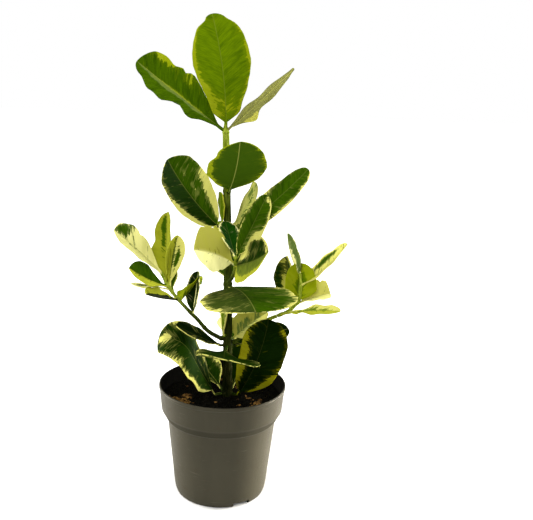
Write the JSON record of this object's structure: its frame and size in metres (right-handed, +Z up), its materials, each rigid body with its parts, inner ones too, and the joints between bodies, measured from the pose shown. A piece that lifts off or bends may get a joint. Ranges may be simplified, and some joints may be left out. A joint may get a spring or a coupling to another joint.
{
  "type": "potted variegated clusia",
  "caption": "Young broad-leaved evergreen with crossed pairs of thick green and cream leaves on an upright stem with side shoots, in a round grey nursery pot with substrate",
  "frame": {"origin": "the centre of the pot's flat underside, on the surface that it stands on", "axes": "+Z runs up the stem; -Y faces the viewer of the picture; +X is the viewer's right"},
  "size_m": [0.3002, 0.2108, 0.6362],
  "materials": {
    "pot": "matt recycled plastic, warm dark grey",
    "substrate": "moist dark peat with a few bark crumbs",
    "stem": "smooth green young bark",
    "foliage": "thick waxy leaf, dark green with cream and yellow-green margins"
  },
  "bodies": {
    "root": {"pot": "pot", "substrate": "substrate", "main_stem": "stem", "left_bough": "stem", "right_bough": "stem", "top_leaves": "foliage", "left_shoot": "foliage", "right_shoot": "foliage", "front_shoot": "foliage", "back_shoot": "foliage", "round_leaf_front": "foliage", "round_leaf_back": "foliage", "upper_leaf_left": "foliage", "upper_leaf_right": "foliage", "narrow_leaf_right": "foliage", "narrow_leaf_left": "foliage", "broad_leaf_front": "foliage", "broad_leaf_back": "foliage", "low_leaf_left": "foliage", "low_leaf_right": "foliage", "low_leaf_front": "foliage", "low_leaf_far_right": "foliage", "low_leaf_back": "foliage", "inner_leaf": "foliage", "foot_leaf_left": "foliage", "foot_leaf_right": "foliage", "foot_leaf_back_right": "foliage", "foot_leaf_back_left": "foliage"}
  },
  "joints": []
}
